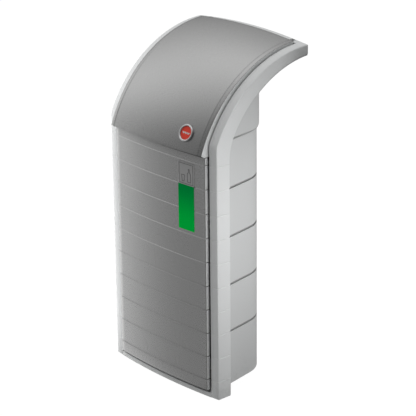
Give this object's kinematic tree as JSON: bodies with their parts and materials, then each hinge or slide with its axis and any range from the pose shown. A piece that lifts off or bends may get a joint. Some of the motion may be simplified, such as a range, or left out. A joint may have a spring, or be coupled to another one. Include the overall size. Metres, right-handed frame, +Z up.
{
  "type": "recycling bin",
  "caption": "Tall free-standing recycling bin: curved throw-in flap that tips up, full-height front door, ribbed rear shell and a lift-ring inner bin.",
  "frame": {"origin": "on the floor under the front sill, midway between the stiles and in line with their outer front corners", "axes": "+X to the bin's right as seen from the front, +Y to the back, +Z up"},
  "size_m": [0.6, 0.5132, 1.3297],
  "materials": {
    "frame_plastic": "fine-grained light grey structural moulding",
    "shell_plastic": "fine-grained light grey moulding",
    "dark_plastic": "charcoal moulding with a fine grain",
    "rubber": "black rubber",
    "bright_steel": "zinc-plated steel",
    "galvanised_sheet": "galvanised sheet with spangle",
    "satin_panel": "moulded, with a satin silver-grey lacquer",
    "inner_sheet": "light grey moulded liner",
    "label_sheet": "printed label sheet",
    "label_print": "screen print",
    "green_film": "green film",
    "chrome_trim": "bright chrome",
    "red_enamel": "red enamel",
    "white_enamel": "white enamel"
  },
  "bodies": {
    "cabinet": {"front_frame": "frame_plastic", "rear_shell": "shell_plastic", "head_shell": "shell_plastic", "arch_soffit": "shell_plastic", "base_pan": "dark_plastic", "foot_pads": "rubber", "shell_screws": "bright_steel", "flap_pins": "bright_steel", "flap_bumpers": "rubber", "door_bumpers": "rubber", "pivot_bracket": "bright_steel", "pivot_pins": "bright_steel", "pivot_washer": "rubber", "strike_plate": "bright_steel", "liner_tub": "galvanised_sheet", "tub_rim": "bright_steel", "tub_runners": "dark_plastic", "handle_lugs": "bright_steel", "ring_brackets": "bright_steel", "ring_pins": "bright_steel"},
    "door": {"door_panel": "satin_panel", "door_liner": "inner_sheet", "door_ribs": "bright_steel", "door_pivots": "bright_steel", "lock_case": "dark_plastic", "label_plate": "label_sheet", "label_mark": "label_print", "colour_strip": "green_film"},
    "latch": {"latch_spindle": "bright_steel", "latch_cam": "bright_steel", "latch_grip": "dark_plastic"},
    "flap": {"flap_panel": "satin_panel", "flap_liner": "inner_sheet", "flap_lugs": "bright_steel", "emblem_bezel": "chrome_trim", "emblem_disc": "red_enamel", "emblem_mark": "white_enamel"},
    "ring": {"bag_ring": "dark_plastic"},
    "handle": {"tub_handle": "bright_steel", "handle_grip": "dark_plastic"}
  },
  "joints": [
    {"name": "flap_tip", "type": "hinge", "parent": "cabinet", "child": "flap", "pos_m": [0, 0.446, 1.29], "axis": [-1, 0, 0], "range_deg": [0, 48]},
    {"name": "door_swing", "type": "hinge", "parent": "cabinet", "child": "door", "pos_m": [-0.218, 0.008, 0.5], "axis": [0, 0, -1], "range_deg": [0, 110]},
    {"name": "latch_turn", "type": "hinge", "parent": "door", "child": "latch", "pos_m": [0.222, 0.012, 0.925], "axis": [0, -1, 0], "range_deg": [0, 90]},
    {"name": "ring_lift", "type": "hinge", "parent": "cabinet", "child": "ring", "pos_m": [0, 0.289, 0.905], "axis": [-1, 0, 0], "range_deg": [0, 60]},
    {"name": "handle_swing", "type": "hinge", "parent": "cabinet", "child": "handle", "pos_m": [0, 0.06, 0.86], "axis": [-1, 0, 0], "range_deg": [0, 88]}
  ]
}
